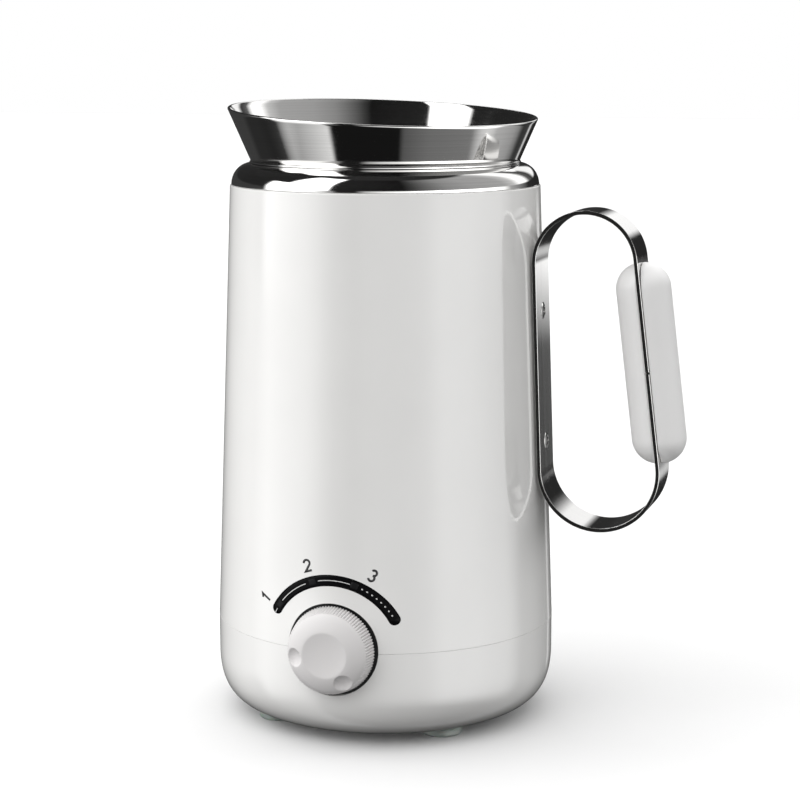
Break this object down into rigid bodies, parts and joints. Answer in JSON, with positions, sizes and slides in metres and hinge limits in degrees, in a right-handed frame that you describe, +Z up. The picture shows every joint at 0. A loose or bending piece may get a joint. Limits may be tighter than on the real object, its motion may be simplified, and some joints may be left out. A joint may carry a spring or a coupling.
{
  "type": "travel kettle",
  "caption": "Small electric travel kettle: steel pot with a flared slanted mouth in a white tapered body, band handle with a padded grip, ribbed control knob and power inlet at the foot.",
  "frame": {"origin": "on the axis of the body, at the height of the surface that the feet stand on", "axes": "+Z up along the body axis, -Y out through the control knob, +X out through the handle, +Y out through the power inlet"},
  "size_m": [0.1513, 0.1146, 0.1942],
  "materials": {
    "white_gloss": "glossy moulded plastic, warm off-white",
    "white_satin": "satin moulded plastic, off-white",
    "polished_steel": "mirror-polished stainless steel with fine brush lines",
    "black_plastic": "black moulded plastic",
    "black_gloss": "glossy black panel",
    "lamp_glass": "tinted lamp lens",
    "foot_silicone": "pale translucent silicone",
    "grey_rubber": "grey silicone seal",
    "cast_alloy": "cast aluminium alloy",
    "plain_steel": "plain plated steel",
    "brass": "stamped brass",
    "white_ceramic": "steatite ceramic",
    "grey_plastic": "heat-resistant moulded plastic",
    "lead_sleeve": "silicone-sleeved wire"
  },
  "bodies": {
    "kettle_body": {"outer_shell": "white_gloss", "base_cover": "white_gloss", "shoulder_ring": "polished_steel", "inner_pot": "polished_steel", "neck_gasket": "grey_rubber", "handle_band": "polished_steel", "grip_inner": "white_satin", "grip_outer": "white_satin", "handle_screws": "plain_steel", "handle_nut_plate": "plain_steel", "knob_bezel": "black_plastic", "shaft_nut": "brass", "switch_case": "black_plastic", "switch_back": "grey_plastic", "switch_bracket": "plain_steel", "bracket_screws": "plain_steel", "switch_tab_1": "brass", "switch_tab_2": "brass", "switch_tab_3": "brass", "dial_scale": "black_gloss", "indicator_lamp_1": "lamp_glass", "indicator_lamp_2": "lamp_glass", "indicator_lamp_3": "lamp_glass", "carrier_ring": "grey_plastic", "carrier_screws": "plain_steel", "base_screws": "plain_steel", "heating_plate": "cast_alloy", "stud_nuts": "plain_steel", "heating_element": "plain_steel", "boil_thermostat": "white_ceramic", "keep_warm_thermostat": "white_ceramic", "thermostat_clamp": "plain_steel", "clamp_screws": "plain_steel", "thermal_fuse": "white_ceramic", "power_inlet": "black_plastic", "inlet_pin_live": "brass", "inlet_pin_neutral": "brass", "inlet_pin_earth": "brass", "inlet_screws": "plain_steel", "foot_back_right": "foot_silicone", "foot_back_left": "foot_silicone", "foot_front_left": "foot_silicone", "foot_front_right": "foot_silicone", "lead_live": "lead_sleeve", "lead_boil": "lead_sleeve", "lead_warm": "lead_sleeve", "lead_boil_out": "lead_sleeve", "lead_warm_out": "lead_sleeve", "lead_fuse": "lead_sleeve", "lead_neutral": "lead_sleeve", "lead_earth": "lead_sleeve"},
    "control": {"control_knob": "white_satin", "switch_shaft": "plain_steel", "switch_rotor": "grey_plastic"}
  },
  "joints": [
    {"name": "knob_turn", "type": "hinge", "parent": "kettle_body", "child": "control", "pos_m": [0, 0, 0.0314], "axis": [0, 1, 0], "range_deg": [0, 120]}
  ]
}
